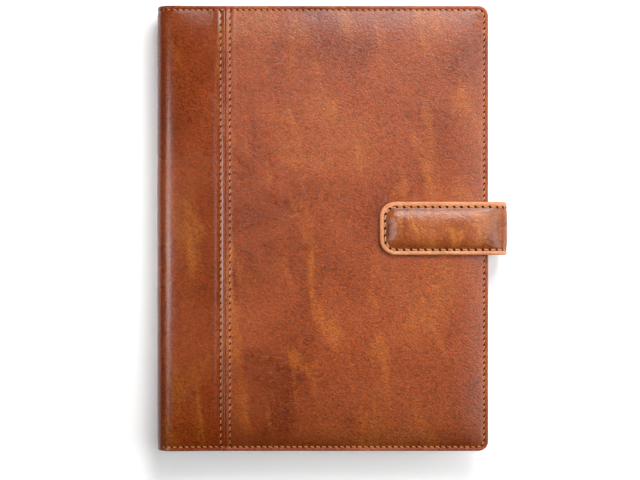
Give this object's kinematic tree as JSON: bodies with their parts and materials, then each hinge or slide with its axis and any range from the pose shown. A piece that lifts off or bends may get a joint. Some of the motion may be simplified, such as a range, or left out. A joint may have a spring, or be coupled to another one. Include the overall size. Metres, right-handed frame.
{
  "type": "portfolio case",
  "caption": "Padded leather portfolio case with a rounded spine, stitched covers, a snap strap at the fore edge and a ring mechanism inside.",
  "frame": {"origin": "middle of the back cover's outer face, on which the closed case lies", "axes": "+X from the spine to the fore edge, +Y along the spine to the head of the case, +Z through the closed case from the back cover to the front cover"},
  "size_m": [0.2649, 0.335, 0.0388],
  "materials": {
    "cover_leather": "waxed pull-up tan leather, pebbled and mottled",
    "strap_leather": "waxed tan leather, smoother than the covers",
    "strap_inner_leather": "plain tan leather, flesh side in",
    "pocket_leather": "thin smooth tan leather",
    "lining": "brown twill",
    "thread": "waxed polyester sewing thread",
    "foam": "thin closed-cell foam",
    "board": "bookbinder's grey board",
    "nickel": "nickel-plated steel",
    "magnet": "sintered magnet"
  },
  "bodies": {
    "back_cover": {"back_leather": "cover_leather", "spine_leather_back": "cover_leather", "back_padding": "foam", "back_board": "board", "back_lining": "lining", "back_edge_thread": "thread", "back_seam_thread": "thread", "slip_pocket": "pocket_leather", "pen_loop": "pocket_leather", "strap_root": "strap_leather", "ring_plate": "nickel", "ring_rivets": "nickel", "lever_pins": "nickel"},
    "spine": {"spine_leather": "cover_leather", "spine_board": "board", "spine_lining": "lining"},
    "front_cover": {"front_leather": "cover_leather", "spine_leather_front": "cover_leather", "front_padding": "foam", "front_board": "board", "front_lining": "lining", "front_edge_thread": "thread", "front_seam_thread": "thread", "document_pocket": "pocket_leather", "card_slot_1": "pocket_leather", "card_slot_2": "pocket_leather", "card_slot_3": "pocket_leather", "snap_socket": "nickel", "snap_magnet": "magnet", "snap_washer": "nickel"},
    "strap_bow": {"strap_bow_leather": "strap_leather", "strap_bow_lining": "strap_inner_leather", "strap_bow_thread": "thread"},
    "strap_tab": {"strap_tab_leather": "strap_leather", "strap_tab_padding": "foam", "strap_tab_lining": "strap_inner_leather", "strap_tab_thread": "thread", "snap_stud": "nickel"},
    "left_rings": {"rail_left": "nickel", "half_rings_left": "nickel"},
    "right_rings": {"rail_right": "nickel", "half_rings_right": "nickel"},
    "top_lever": {"lever_top": "nickel"},
    "bottom_lever": {"lever_bottom": "nickel"}
  },
  "joints": [
    {"name": "back_fold", "type": "hinge", "parent": "back_cover", "child": "spine", "pos_m": [-0.12187, 0, 0.00313], "axis": [0, -1, 0], "range_deg": [0, 90]},
    {"name": "front_fold", "type": "hinge", "parent": "spine", "child": "front_cover", "pos_m": [-0.12187, 0, 0.03087], "axis": [0, -1, 0], "range_deg": [0, 90]},
    {"name": "strap_base_fold", "type": "hinge", "parent": "back_cover", "child": "strap_bow", "pos_m": [0.13583, 0, 0.00487], "axis": [0, 1, 0], "range_deg": [0, 80]},
    {"name": "strap_tab_fold", "type": "hinge", "parent": "strap_bow", "child": "strap_tab", "pos_m": [0.13583, 0, 0.03372], "axis": [0, 1, 0], "range_deg": [0, 90]},
    {"name": "left_rail_tilt", "type": "hinge", "parent": "back_cover", "child": "left_rings", "pos_m": [-0.104, 0, 0.00665], "axis": [0, -1, 0], "range_deg": [0, 18]},
    {"name": "right_rail_tilt", "type": "hinge", "parent": "back_cover", "child": "right_rings", "pos_m": [-0.09, 0, 0.00665], "axis": [0, 1, 0], "range_deg": [0, 18]},
    {"name": "top_lever_press", "type": "hinge", "parent": "back_cover", "child": "top_lever", "pos_m": [-0.097, 0.1375, 0.007], "axis": [-1, 0, 0], "range_deg": [0, 25.2]},
    {"name": "bottom_lever_press", "type": "hinge", "parent": "back_cover", "child": "bottom_lever", "pos_m": [-0.097, -0.1375, 0.007], "axis": [1, 0, 0], "range_deg": [0, 25.2]}
  ],
  "couplings": [
    {"joint": "right_rail_tilt", "follows": "left_rail_tilt", "ratio": 1},
    {"joint": "top_lever_press", "follows": "left_rail_tilt", "ratio": 1.4},
    {"joint": "bottom_lever_press", "follows": "left_rail_tilt", "ratio": 1.4}
  ]
}
